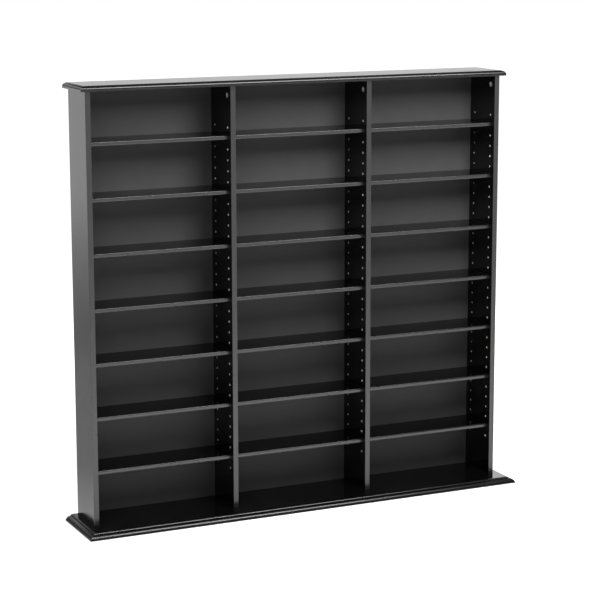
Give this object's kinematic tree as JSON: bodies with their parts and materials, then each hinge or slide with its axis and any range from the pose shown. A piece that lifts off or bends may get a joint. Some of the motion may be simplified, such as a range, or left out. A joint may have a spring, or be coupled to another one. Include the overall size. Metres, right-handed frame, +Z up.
{
  "type": "media storage rack",
  "caption": "Floor-standing black laminate media rack with adjustable shelves between drilled uprights, a thin back and a moulded top and base.",
  "frame": {"origin": "on the floor, under the middle of the base panel", "axes": "+X along the wall to the right as seen from the front, +Y to the wall behind, +Z up"},
  "size_m": [1.418, 0.229, 1.299],
  "materials": {
    "black_laminate": "black melamine laminate on particle board, satin gloss",
    "black_moulded_board": "black foil wrapped over moulded fibreboard, semi-gloss",
    "hardboard": "black printed face, raw brown rear",
    "zinc_plated_steel": "bright zinc plating",
    "zinc_casting": "die-cast, lightly tumbled",
    "beech": "fluted, unfinished"
  },
  "bodies": {
    "case": {"base_panel": "black_moulded_board", "top_panel": "black_moulded_board", "left_side_panel": "black_laminate", "divider_1": "black_laminate", "divider_2": "black_laminate", "right_side_panel": "black_laminate", "back_panel_1": "hardboard", "back_panel_2": "hardboard", "back_panel_3": "hardboard", "shelf_pins": "zinc_plated_steel", "cam_locks": "zinc_casting", "cam_bolts": "zinc_plated_steel", "base_screws": "zinc_plated_steel", "back_nails": "zinc_plated_steel", "top_dowels": "beech"},
    "shelf_1_1": {"shelf_1_1": "black_laminate"},
    "shelf_1_2": {"shelf_1_2": "black_laminate"},
    "shelf_1_3": {"shelf_1_3": "black_laminate"},
    "shelf_1_4": {"shelf_1_4": "black_laminate"},
    "shelf_1_5": {"shelf_1_5": "black_laminate"},
    "shelf_1_6": {"shelf_1_6": "black_laminate"},
    "shelf_1_7": {"shelf_1_7": "black_laminate"},
    "shelf_2_1": {"shelf_2_1": "black_laminate"},
    "shelf_2_2": {"shelf_2_2": "black_laminate"},
    "shelf_2_3": {"shelf_2_3": "black_laminate"},
    "shelf_2_4": {"shelf_2_4": "black_laminate"},
    "shelf_2_5": {"shelf_2_5": "black_laminate"},
    "shelf_2_6": {"shelf_2_6": "black_laminate"},
    "shelf_2_7": {"shelf_2_7": "black_laminate"},
    "shelf_3_1": {"shelf_3_1": "black_laminate"},
    "shelf_3_2": {"shelf_3_2": "black_laminate"},
    "shelf_3_3": {"shelf_3_3": "black_laminate"},
    "shelf_3_4": {"shelf_3_4": "black_laminate"},
    "shelf_3_5": {"shelf_3_5": "black_laminate"},
    "shelf_3_6": {"shelf_3_6": "black_laminate"},
    "shelf_3_7": {"shelf_3_7": "black_laminate"}
  },
  "joints": [
    {"name": "shelf_1_1_slide", "type": "slide", "parent": "case", "child": "shelf_1_1", "axis": [0, -1, 0], "range_m": [0, 0.225]},
    {"name": "shelf_1_2_slide", "type": "slide", "parent": "case", "child": "shelf_1_2", "axis": [0, -1, 0], "range_m": [0, 0.225]},
    {"name": "shelf_1_3_slide", "type": "slide", "parent": "case", "child": "shelf_1_3", "axis": [0, -1, 0], "range_m": [0, 0.225]},
    {"name": "shelf_1_4_slide", "type": "slide", "parent": "case", "child": "shelf_1_4", "axis": [0, -1, 0], "range_m": [0, 0.225]},
    {"name": "shelf_1_5_slide", "type": "slide", "parent": "case", "child": "shelf_1_5", "axis": [0, -1, 0], "range_m": [0, 0.225]},
    {"name": "shelf_1_6_slide", "type": "slide", "parent": "case", "child": "shelf_1_6", "axis": [0, -1, 0], "range_m": [0, 0.225]},
    {"name": "shelf_1_7_slide", "type": "slide", "parent": "case", "child": "shelf_1_7", "axis": [0, -1, 0], "range_m": [0, 0.225]},
    {"name": "shelf_2_1_slide", "type": "slide", "parent": "case", "child": "shelf_2_1", "axis": [0, -1, 0], "range_m": [0, 0.225]},
    {"name": "shelf_2_2_slide", "type": "slide", "parent": "case", "child": "shelf_2_2", "axis": [0, -1, 0], "range_m": [0, 0.225]},
    {"name": "shelf_2_3_slide", "type": "slide", "parent": "case", "child": "shelf_2_3", "axis": [0, -1, 0], "range_m": [0, 0.225]},
    {"name": "shelf_2_4_slide", "type": "slide", "parent": "case", "child": "shelf_2_4", "axis": [0, -1, 0], "range_m": [0, 0.225]},
    {"name": "shelf_2_5_slide", "type": "slide", "parent": "case", "child": "shelf_2_5", "axis": [0, -1, 0], "range_m": [0, 0.225]},
    {"name": "shelf_2_6_slide", "type": "slide", "parent": "case", "child": "shelf_2_6", "axis": [0, -1, 0], "range_m": [0, 0.225]},
    {"name": "shelf_2_7_slide", "type": "slide", "parent": "case", "child": "shelf_2_7", "axis": [0, -1, 0], "range_m": [0, 0.225]},
    {"name": "shelf_3_1_slide", "type": "slide", "parent": "case", "child": "shelf_3_1", "axis": [0, -1, 0], "range_m": [0, 0.225]},
    {"name": "shelf_3_2_slide", "type": "slide", "parent": "case", "child": "shelf_3_2", "axis": [0, -1, 0], "range_m": [0, 0.225]},
    {"name": "shelf_3_3_slide", "type": "slide", "parent": "case", "child": "shelf_3_3", "axis": [0, -1, 0], "range_m": [0, 0.225]},
    {"name": "shelf_3_4_slide", "type": "slide", "parent": "case", "child": "shelf_3_4", "axis": [0, -1, 0], "range_m": [0, 0.225]},
    {"name": "shelf_3_5_slide", "type": "slide", "parent": "case", "child": "shelf_3_5", "axis": [0, -1, 0], "range_m": [0, 0.225]},
    {"name": "shelf_3_6_slide", "type": "slide", "parent": "case", "child": "shelf_3_6", "axis": [0, -1, 0], "range_m": [0, 0.225]},
    {"name": "shelf_3_7_slide", "type": "slide", "parent": "case", "child": "shelf_3_7", "axis": [0, -1, 0], "range_m": [0, 0.225]}
  ]
}
